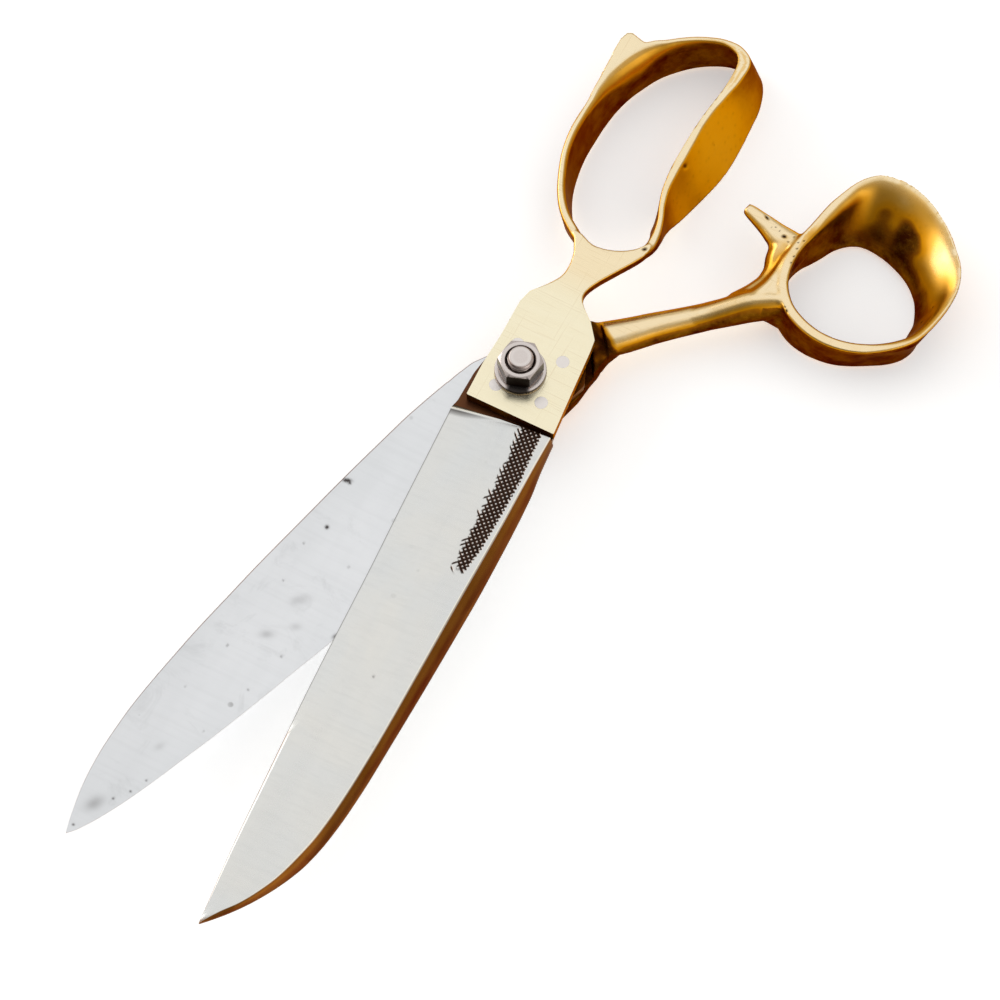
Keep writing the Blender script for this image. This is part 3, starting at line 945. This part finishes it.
# ------------------------------------------------------------------ blades
def blade(side, edge, ridge, back, tip, tang_l, tang_r, shoulder, facet, hatch, marks, ring_level, step_y):
    """One closed skin: tang, heel step, ground face, bevelled back and flat inner face."""
    s_x = 1 if side > 0 else -1
    heel = -12.2
    tang_rows = list(np.linspace(15.0, heel + 0.02, 40))
    rows = [("t", y) for y in tang_rows]
    y = heel
    fine_to = -52.5 if hatch is not None else heel
    blade_rows = []
    while y > tip + 0.02:
        blade_rows.append(y)
        y -= 0.125 if y > fine_to else (step_y if y > tip + 6 else 0.18)
    blade_rows.append(tip + 0.01)
    rows += [("b", v) for v in blade_rows]
    if hatch is not None:
        q = np.concatenate([np.linspace(0, 0.60, 44, endpoint=False), np.linspace(0.60, 0.97, 92, endpoint=False), np.linspace(0.97, 1, 6)])
    else:
        q = np.linspace(0, 1, 60)
    nb = 10
    bev = np.linspace(0, 1, nb + 1)[1:]
    qb = np.linspace(1, 0, 30) if hatch is not None else np.linspace(1, 0, 84)
    sections, marks_col = [], []
    X, Y, Z, PAT, LOWC, SH, HA = [], [], [], [], [], [], []
    for kind, yr in rows:
        if kind == "t":
            xl, xr = lerp_table(tang_l, yr), lerp_table(tang_r, yr)
            top = GAP + 1.85
            x_top = xl + (xr - xl) * q
            z_top = np.full(len(q), top)
            x_bev = np.full(nb, xr)
            z_bev = top + (GAP - top) * bev
            x_bot = xl + (xr - xl) * qb
            fade = 1 - step(heel, heel + 8.0, yr)
        else:
            e, t, b = curve(edge, yr), curve(ridge, yr), curve(back, yr)
            f = min(1, max(0.10, 1 - max(0, (-yr - 60) / (-tip - 60)) ** 2.2 * 0.9))
            hi = max(GAP + 0.4, 0.45 + 3.55 * f)
            x_top = e + (t - e) * q
            qf = np.clip((lerp_table(facet, yr) - e) / (t - e), 0.03, 0.9) if facet is not None else 0.45
            k = 0.90
            soft = 0.012
            l1 = 1 - k * (1 - q)
            g = (1 - k * (1 - qf)) / qf
            l2 = g * q
            prof = -soft * np.log(np.exp(-np.clip(l1, -1, 2) / soft) + np.exp(-np.clip(l2, -1, 2) / soft))
            prof = np.clip(prof, 0, 1)
            z_top = GAP + 0.12 + (hi - GAP - 0.12) * prof
            # crest along the heel, stronger away from the back
            d = heel - yr
            cw = 1 - step(-9.0, 7.0, x_top * s_x)
            if side > 0:
                z_top = z_top + 0.42 * cw * np.clip(1 - d / (1.7 * cw + 0.01), 0, 1)
            land = min(GAP + 0.5, hi - 0.02)
            mb = np.clip(bev * 1.18, 0, 1)
            x_bev = t + (b - t) * np.minimum(mb, 1)
            bulge = 0.10 * np.sin(np.minimum(mb, 1) * math.pi) * min(1, (hi - land))
            z_bev = np.where(bev < 0.86, hi + (land - hi) * mb + bulge, land + (GAP - land) * (bev - 0.85) / 0.15)
            x_bot = e + (b - e) * qb
            fade = 1 - step(0, 16, d)
            z_top = np.minimum(z_top, hi + 0.3)
        x = np.concatenate([x_top, x_bev, x_bot[1:]])
        zb = np.full(len(qb) - 1, GAP)
        z = np.concatenate([z_top, z_bev, zb])
        shift = (lerp_table(shoulder, x * s_x) - heel) * fade
        yy = yr + shift
        X.append(x); Y.append(yy); Z.append(z)
        nt = len(q)
        if kind == "t":
            pat = np.full(len(x), 1.0)
            pat[nt + nb:] = (x[nt + nb:] > 5.0) * 1.0
            low = np.full(len(x), 0.5)
            sh = np.zeros(len(x))
        else:
            pat = np.zeros(len(x))
            w_back = abs(b - t)
            pat[nt:nt + nb] = 1.0
            pat[nt - 1] = 0.0
            low = np.zeros(len(x))
            low[nt:nt + nb] = step(0.35, 0.60, bev)
            sh = np.zeros(len(x))
            sh[nt - 2:nt] = 0.8
            if d < 0.5 and side > 0:
                sh[:nt] = np.maximum(sh[:nt], (1 - d / 0.5) * 0.9 * cw)
        PAT.append(pat); LOWC.append(low); SH.append(sh)
    X, Y, Z = map(np.array, (X, Y, Z))
    PAT, LOWC, SH = map(np.array, (PAT, LOWC, SH))
    n, m = X.shape
    HA = np.zeros((n, m))
    if hatch is not None:
        HA = hatch(X, Y)
        HA[:, len(q):] = 0
        HA[:len(tang_rows)] = 0
        Z = Z - HA * 0.13
    V = np.c_[X.ravel(), Y.ravel(), (CZ + side * Z).ravel()]
    F = [quads(n, m), np.arange(m)[::-1][None, :], (np.arange(m) + (n - 1) * m)[None, :]]
    V, F = shell(V, F)
    stain = np.zeros((n, m))
    if side > 0:
        stain[:len(tang_rows), :len(q)] = 0.45
        for k in range(len(tang_rows), n):
            d = heel - rows[k][1]
            if d > 3:
                break
            cw = 1 - step(-9.0, 5.0, X[k, :len(q)])
            stain[k, :len(q)] = 0.90 * cw * step(0.35, 0.6, d) * np.clip(1.25 - d / (1.7 * cw + 0.01), 0, 1)
        # a thin dull line where the ground face runs out at the edge
        stain[len(tang_rows) + 8:, 0] = 0.75
    stain = stain.ravel()
    zsurf = marks["z"]
    for x, y, ra, rb, deg, depth, dark in marks["list"]:
        if marks.get("turn"):
            a = math.radians(marks["turn"])
            x, y = x * math.cos(a) - y * math.sin(a), x * math.sin(a) + y * math.cos(a)
            deg += marks["turn"]
        a = math.radians(deg)
        dx, dy = V[:, 0] - x, V[:, 1] - y
        u, v = dx * math.cos(a) + dy * math.sin(a), -dx * math.sin(a) + dy * math.cos(a)
        w = np.exp(-((u / ra) ** 2 + (v / rb) ** 2))
        if zsurf == "top":
            sel = (np.arange(len(V)) % m) < len(q)
            V[:, 2] -= side * w * depth * sel
        else:
            sel = (np.arange(len(V)) % m) >= len(q) + nb
            V[:, 2] += side * w * depth * sel
        stain = np.maximum(stain, np.clip(w * dark, 0, 1) * sel)
    return V, F, dict(patina=PAT.ravel(), low=LOWC.ravel(), shine=SH.ravel(), hatch=HA.ravel(), stain=stain), (n, m, len(q), nb)


def checkered(X, Y):
    """Crossed file cuts beside the back, with ragged overruns on the blade side and at the lower end."""
    rng = np.random.default_rng(11)
    pitch = 0.99
    left = lerp_table([[-12.4, 6.4], [-18.8, 7.1], [-26, 7.9], [-34, 8.3], [-41, 8.5], [-46, 8.9], [-50, 9.9]], Y)
    right = lerp_table([[-12, 11.6], [-18, 12.2], [-24, 12.9], [-33, 13.1], [-43, 13.1], [-49, 12.5], [-52, 12.0]], Y)
    total = np.zeros_like(X)
    for sgn in (1, -1):
        u = (X + sgn * Y) / math.sqrt(2) / pitch
        k = np.floor(u).astype(int)
        f = u - k
        over = rng.uniform(0.0, 1.0, 400) ** 2 * 1.4
        end = rng.uniform(-0.5, 0.7, 400)
        o, en = over[k % 400], end[k % 400]
        reach = (X - (left - o)) / 0.9
        core = step(0.0, 1.0, (X - left) / 1.2)
        width = 0.17 + 0.13 * core
        inner = np.clip((width - np.abs(f - 0.5)) / 0.09 + 0.5, 0, 1)
        m = step(0.0, 0.55, reach) * step(0.0, 0.22, right - X + 0.25 * np.sin(Y * 6.2))
        m = m * step(-50.4 + en - 1.0, -50.4 + en + 0.4, Y)
        total = np.maximum(total, inner * m)
    return total


def make_blades():
    shoulder = [[-30, -15.0], [-14, -14.1], [-10.1, -13.4], [0.9, -11.75], [6.4, -11.4], [14.6, -11.15], [30, -10.9]]
    rear_shoulder = [[-30, -16.2], [-14, -15.4], [-10.1, -14.65], [0.9, -12.6], [6.4, -12.1], [14.6, -11.3], [30, -10.8]]
    facet = [[-20, 9.0], [-34, 6.0], [-44.7, 3.3], [-54.2, 1.14], [-63.4, -0.64], [-73.2, -1.14], [-86.8, -0.9], [-97.1, -2.6], [-104, -4.4], [-120, -3.6], [-155, 0.0]]
    tl = [[15.0, -2.6], [13.0, -6.6], [8.0, -8.2], [1.0, -9.2], [-4.0, -9.9], [-11.0, -9.9], [-13.6, -10.6]]
    tr = [[15.0, 5.2], [11.2, 10.6], [0.0, 12.7], [-9.0, 13.6], [-13.6, 14.2]]
    V, F, at, dims = blade(1, FRONT_EDGE, FRONT_TOP, FRONT_BACK, -154.9, tl, tr, shoulder, facet, checkered,
                           {"z": "top", "list": [(6.27, -82.6, 0.28, 0.28, 0, 0.05, 0.8), (-4.2, -118.0, 0.2, 0.2, 0, 0.02, 0.25)]}, CZ, 0.45)
    me = to_mesh("fb", [(V, F)])
    me = finish_blade(me, at, [tube(3.3, CZ - 1, CZ + 8)] + [tube(2.0, CZ - 1, CZ + 4, x, y, 48) for x, y in FRONT_RIVETS])
    piece(me, "front_blade_ground", "front_half", ["front_blade"], BLADE_A, 24)

    tl = [[15.0, 2.0], [13.6, 8.0], [9.0, 11.6], [2.0, 11.4], [-6.0, 9.6], [-13.6, 10.7]]
    tr = [[15.0, -1.0], [13.6, -3.6], [8.0, -6.6], [1.4, -9.2], [-4.0, -11.3], [-9.0, -11.9], [-13.6, -12.2]]
    back_marks = [
        (-23.1, -40.9, 0.95, 0.42, 20, 0.12, 1.5), (-22.3, -41.2, 0.4, 0.3, 0, 0.08, 1.3), (-21.57, -53.46, 0.42, 0.42, 0, 0.08, 1.4),
        (-24.3, -59.5, 0.22, 0.22, 0, 0.04, 0.8), (-27.46, -90.41, 0.25, 0.25, 0, 0.04, 0.8), (-15.25, -87.0, 0.25, 0.22, 0, 0.04, 0.8),
        (-32.1, -136.45, 0.3, 0.3, 0, 0.04, 0.8), (-29.5, -133.06, 0.3, 0.25, 0, 0.04, 0.8), (-27.6, -128.9, 0.28, 0.25, 0, 0.04, 0.7),
        (-37.0, -146.5, 0.35, 0.3, 0, 0.04, 0.8), (-18.3, -72.6, 2.3, 1.2, 40, 0.02, 0.20), (-20.9, -83.75, 1.6, 1.0, 30, 0.02, 0.28),
        (-35.3, -139.6, 2.4, 1.5, 60, 0.03, 0.34), (-16.0, -79.0, 1.4, 0.9, 30, 0.01, 0.18), (-29.0, -120.0, 1.3, 0.8, 60, 0.01, 0.15),
        (-12.4, -60.0, 0.3, 0.25, 0, 0.03, 0.5), (-18.0, -98.0, 0.3, 0.25, 0, 0.03, 0.5), (-31.0, -104.0, 0.24, 0.2, 0, 0.03, 0.5),
        (-24.0, -70.0, 0.3, 0.2, 30, 0.03, 0.5), (-22.0, -112.0, 0.24, 0.2, 0, 0.03, 0.5),
        (-6.6, -76.6, 0.9, 0.5, 50, 0.03, 1.0),
    ]
    V, F, at, dims = blade(-1, REAR_EDGE, REAR_TOP, REAR_BACK, -153.6, tl, tr, rear_shoulder, None, None,
                           {"z": "inner", "turn": OPEN, "list": back_marks}, CZ, 0.40)
    # a fine ground bevel just inside the cutting edge
    e = curve(REAR_EDGE, V[:, 1])
    d = e - V[:, 0]
    inner = (np.abs(V[:, 2] - (CZ - GAP)) < 0.16) & (V[:, 1] < -13)
    V[:, 2] -= inner * 0.06 * np.clip(1 - d / 1.15, 0, 1)
    V = turn(V, -OPEN)
    me = to_mesh("rb", [(V, F)])
    me = finish_blade(me, at, [tube(3.3, CZ - 8, CZ + 1)] + [tube(2.0, CZ - 4, CZ + 1, x, y, 48) for x, y in REAR_RIVETS])
    piece(me, "rear_blade_ground", "rear_half", ["rear_blade"], BLADE_B, 24)


def finish_blade(me, at, cutters):
    for k, v in at.items():
        put(me, k, v)
    before = coords(me)
    out = cut(me, cutters)
    have = all(out.attributes.get(k) is not None for k in at)
    if not have or len(out.vertices) == 0:
        V = coords(out)
        # carry the painted values over by place
        from mathutils import kdtree
        tree = kdtree.KDTree(len(before))
        for i, p in enumerate(before):
            tree.insert(p, i)
        tree.balance()
        idx = np.array([tree.find(p)[1] for p in V])
        for k, v in at.items():
            put(out, k, np.asarray(v)[idx])
    return out


# ------------------------------------------------------------------ fasteners
def hex_radius(theta, af, turn_deg):
    t = (theta - math.radians(turn_deg) + math.pi / 6) % (math.pi / 3) - math.pi / 6
    return af / 2 / np.cos(t)


def revolve(profile, n=120, turn_deg=0.0, name="r"):
    """profile(theta array) gives a list of (radius array, height array); the rows join into one closed skin."""
    th = np.arange(n) / n * 2 * math.pi + math.radians(turn_deg)
    rows = profile(th)
    P = np.array([np.c_[r * np.cos(th), r * np.sin(th), z] for r, z in rows])
    return P, th


def ring_skin(P):
    k, n, _ = P.shape
    return shell(P.reshape(-1, 3), [quads(k, n, close_n=True)])


def disc_skin(P):
    k, n, _ = P.shape
    V = P.reshape(-1, 3)
    return shell(V, [quads(k, n), np.arange(n)[::-1][None, :], (np.arange(n) + (k - 1) * n)[None, :]])


def make_fasteners():
    c = lambda th, v: np.full(len(th), float(v))
    base = CZ + 5.2 + 0.3
    # washer
    def washer(th):
        rows = []
        for r, z in [(3.4, 0.0), (5.8, 0.0), (5.93, 0.03), (6.0, 0.12), (6.0, 0.62), (5.95, 0.74), (5.82, 0.8), (5.0, 0.8), (4.0, 0.79), (3.55, 0.78), (3.4, 0.68)]:
            rows.append((c(th, r), c(th, base + z)))
        return rows
    P, _ = revolve(washer, 144)
    me = to_mesh("w", [ring_skin(P)])
    V = coords(me)
    a = np.degrees(np.arctan2(V[:, 1], V[:, 0])) - NUT_TURN
    a = (a + 180) % 360 - 180
    put(me, "pit", 0.92 * (1 - step(20, 33, np.abs(a))) * (V[:, 2] > base + 0.05))
    put(me, "wear", np.zeros(len(V)))
    piece(me, "pivot_washer_turned", "front_half", ["pivot_washer"], FASTENER, 40)

    nb = base + 0.8 + 0.3
    nt = nb + 4.9
    af = 9.35

    def nut(th):
        hexr = hex_radius(th, af, NUT_TURN)
        rc = af / 2 * 0.955
        k = 0.52
        ze = nt - np.maximum(hexr - rc, 0) * k
        zb = nb + np.maximum(hexr - rc, 0) * k
        rows = [(c(th, 3.12), c(th, nb + 0.5)), (c(th, 3.6), c(th, nb)), (c(th, 4.2), c(th, nb)), (c(th, rc - 0.06), c(th, nb)), (c(th, rc), zb * 0 + nb + 0.02)]
        rows += [(hexr - 0.05, zb - 0.02), (hexr, zb + 0.05)]
        for s in np.linspace(0, 1, 7)[1:-1]:
            rows.append((hexr, zb + (ze - zb) * s))
        rows += [(hexr, ze - 0.06), (hexr - 0.06, ze + 0.02), (c(th, rc), c(th, nt - 0.02)), (c(th, rc - 0.07), c(th, nt)), (c(th, 4.2), c(th, nt)),
                 (c(th, 3.72), c(th, nt)), (c(th, 3.60), c(th, nt - 0.04)), (c(th, 3.14), c(th, nt - 0.5))]
        # internal thread
        for z in np.linspace(nt - 0.5, nb + 0.5, 40)[1:-1]:
            ph = (z / 1.0 - th / (2 * math.pi)) % 1.0
            rows.append((3.12 + 0.22 * np.abs(ph * 2 - 1), c(th, z)))
        return rows
    P, th = revolve(nut, 180, NUT_TURN)
    me = to_mesh("n", [ring_skin(P)])
    V, N = coords(me), normals(me)
    r = np.linalg.norm(V[:, :2], axis=1)
    a = np.degrees(np.arctan2(V[:, 1], V[:, 0])) - NUT_TURN
    a = (a + 180) % 360 - 180
    front = (np.abs(a) < 29.0) * (V[:, 2] < nt - 0.30) * (r > 4.3)
    put(me, "pit", np.maximum(((r < 3.58) & (V[:, 2] < nt - 0.02)) * 0.9, front * 0.85))
    lip = np.exp(-((V[:, 2] - nt) / 0.12) ** 2) * (r > 4.5) * 0.5
    put(me, "wear", lip)
    piece(me, "pivot_nut_hex", "front_half", ["pivot_nut"], FASTENER, 18)

    bt = nt + 1.5
    hh = 3.8

    def bolt(th):
        hexr = hex_radius(th, 10.0, NUT_TURN)
        rc = 4.78
        k = 0.52
        zl = np.maximum(hexr - rc, 0) * k
        rows = [(c(th, 0.8), c(th, 0.0)), (c(th, 2.5), c(th, 0.0)), (c(th, rc - 0.06), c(th, 0.0)), (c(th, rc), c(th, 0.02)), (hexr - 0.06, zl), (hexr, zl + 0.07)]
        for s in np.linspace(0, 1, 5)[1:-1]:
            rows.append((hexr, zl + (hh - 0.12 - zl) * s))
        rows += [(hexr, c(th, hh - 0.12)), (hexr - 0.10, c(th, hh)), (c(th, 4.0), c(th, hh)), (c(th, 3.25), c(th, hh)), (c(th, 3.0), c(th, hh + 0.25))]
        start = CZ + 5.2
        for z in (5.0, 7.0, 9.0, 11.0, 13.0, start - 0.2):
            rows.append((c(th, 3.0), c(th, z)))
        for z in np.arange(start, bt - 0.72, 0.085):
            ph = (z / 1.0 - th / (2 * math.pi)) % 1.0
            tri = np.abs(ph * 2 - 1)
            fade = float(step(start, start + 1.2, z))
            rows.append((3.0 - 0.46 * np.clip(tri * 1.25 - 0.12, 0, 1) * fade, c(th, z)))
        for s in np.linspace(0, 1, 6):
            z = bt - 0.72 + 0.62 * s
            ph = (z / 1.0 - th / (2 * math.pi)) % 1.0
            tri = np.abs(ph * 2 - 1)
            lim = 3.0 - 0.36 * s
            rows.append((np.minimum(3.0 - 0.46 * np.clip(tri * 1.25 - 0.12, 0, 1), lim), c(th, z)))
        rows += [(c(th, 2.56), c(th, bt - 0.04)), (c(th, 2.42), c(th, bt)), (c(th, 2.0), c(th, bt + 0.02)), (c(th, 1.5), c(th, bt - 0.04)), (c(th, 0.5), c(th, bt - 0.05))]
        return rows
    P, th = revolve(bolt, 180, NUT_TURN)
    me = to_mesh("b", [disc_skin(P)])
    V = coords(me)
    r = np.linalg.norm(V[:, :2], axis=1)
    put(me, "pit", np.clip((2.98 - r) / 0.35, 0, 1) * (V[:, 2] < bt - 0.70) * (V[:, 2] > CZ) * (r > 1) * 0.85)
    put(me, "wear", np.exp(-((r - 2.15) / 0.18) ** 2) * (V[:, 2] > bt - 0.2) * 0.6)
    piece(me, "pivot_bolt_hex", "front_half", ["pivot_bolt"], FASTENER, 24)


def make_rivets():
    for half, rivets, low, high, body in (("front", FRONT_RIVETS, CZ + GAP + 0.05, CZ + 5.2, "front_half"), ("rear", REAR_RIVETS, CZ - 5.2, CZ - GAP - 0.05, "rear_half")):
        for i, (x, y) in enumerate(rivets):
            rng = np.random.default_rng(20 + i + (10 if half == "rear" else 0))
            n = 72
            th = np.arange(n) / n * 2 * math.pi
            wob = 1.0 + 0.006 * np.sin(3 * th + rng.uniform(0, 6)) + 0.004 * np.sin(5 * th + rng.uniform(0, 6))
            out = high if half == "front" else low
            rows = []
            prof = [(0.3, 0.02), (1.0, 0.018), (1.55, 0.0), (1.78, -0.02), (1.90, -0.10)]
            if half == "front":
                seq = [(1.0, low), (1.72, low), (1.80, low + 0.1), (1.90, low + 0.6)] + [(r, high + dz) for r, dz in prof[::-1]]
            else:
                seq = [(r, low - dz) for r, dz in prof] + [(1.90, high - 0.6), (1.80, high - 0.1), (1.72, high), (1.0, high)]
            P = np.array([np.c_[x + r * wob * np.cos(th), y + r * wob * np.sin(th), np.full(n, z)] for r, z in seq])
            me = to_mesh("rv", [disc_skin(P)])
            V = coords(me)
            rr = np.linalg.norm(V[:, :2] - np.array([x, y]), axis=1)
            put(me, "pit", np.clip((rr - 1.74) / 0.14, 0, 1) * 0.8)
            piece(me, f"{half}_rivet_{i + 1}_peened", body, [f"{half}_rivet_{i + 1}"], RIVET, 45)


front_handle()
rear_handle()
make_blades()
make_fasteners()
make_rivets()

# ------------------------------------------------------------------ floor, light and camera
def floor():
    n, s = 24, 8.0
    g = np.linspace(-s, s, n)
    X, Y = np.meshgrid(g, g, indexing="ij")
    V = np.c_[X.ravel(), Y.ravel(), np.full(n * n, -0.0004)]
    me = bpy.data.meshes.new("floor")
    me.from_pydata(V.tolist(), [], quads(n, n, close_m=False)[:, ::-1].tolist())
    me.materials.append(floor_material())
    ob = bpy.data.objects.new("floor", me)
    bpy.context.scene.collection.objects.link(ob)


def area(name, direction, dist, size, power, colour=(1, 1, 1)):
    d = Vector(direction).normalized()
    li = bpy.data.lights.new(name, "AREA")
    li.shape, li.size, li.size_y = "RECTANGLE", size[0], size[1]
    li.energy, li.color = power, colour
    ob = bpy.data.objects.new(name, li)
    ob.location = Vector((0.010, -0.029, 0.009)) + d * dist
    ob.rotation_euler = d.to_track_quat("Z", "Y").to_euler()
    ob.visible_camera = False
    bpy.context.scene.collection.objects.link(ob)
    return ob


floor()
area("key_softbox", (-0.20, 0.37, 0.91), 1.6, (1.9, 1.9), 3.8)
area("left_fill", (-1.0, -0.05, 0.42), 1.7, (1.4, 1.0), 9.0, (1.0, 0.985, 0.96))
area("right_fill", (1.0, -0.25, 0.60), 1.9, (1.2, 1.0), 3.3, (1.0, 0.985, 0.96))
world = bpy.data.worlds.new("studio")
world.use_nodes = True
bg = world.node_tree.nodes["Background"]
bg.inputs[0].default_value = (1.0, 0.985, 0.965, 1)
# two darker places in the room: in front of the table and straight above its near side
wt = world.node_tree
tc = wt.nodes.new("ShaderNodeTexCoord")


def dark_place(direction, edge, core, floor_value):
    dot = wt.nodes.new("ShaderNodeVectorMath")
    dot.operation = "DOT_PRODUCT"
    dot.inputs[1].default_value = Vector(direction).normalized()
    wt.links.new(tc.outputs["Generated"], dot.inputs[0])
    mr = wt.nodes.new("ShaderNodeMapRange")
    mr.interpolation_type = "SMOOTHSTEP"
    mr.inputs["From Min"].default_value = edge
    mr.inputs["From Max"].default_value = core
    mr.inputs["To Min"].default_value = 1.0
    mr.inputs["To Max"].default_value = floor_value
    wt.links.new(dot.outputs["Value"], mr.inputs["Value"])
    return mr.outputs[0]


both = wt.nodes.new("ShaderNodeMath")
both.operation = "MULTIPLY"
wt.links.new(dark_place((-0.05, -0.80, 0.60), 0.78, 0.96, 0.40), both.inputs[0])
wt.links.new(dark_place((0.20, -0.372, 0.906), 0.93, 0.99, 0.75), both.inputs[1])
level = wt.nodes.new("ShaderNodeMath")
level.operation = "MULTIPLY"
level.inputs[1].default_value = 0.62
wt.links.new(both.outputs[0], level.inputs[0])
wt.links.new(level.outputs[0], bg.inputs[1])
bpy.context.scene.world = world
bpy.context.scene.view_settings.view_transform = "Standard"

cam = bpy.data.cameras.new("camera")
cam.sensor_width = 36.0
cam.clip_start, cam.clip_end = 0.05, 60.0
ob = bpy.data.objects.new("camera", cam)
az, el = math.radians(28.2), math.radians(65.0)
to_cam = Vector((math.sin(az) * math.cos(el), -math.cos(az) * math.cos(el), math.sin(el)))
target = Vector((0.01012, -0.0288, 0.0093))
DIST = 7.0
cam.lens = 36.0 * DIST / 0.2288
ob.location = target + to_cam * DIST
ob.rotation_euler = to_cam.to_track_quat("Z", "Y").to_euler()
bpy.context.scene.collection.objects.link(ob)
bpy.context.scene.camera = ob
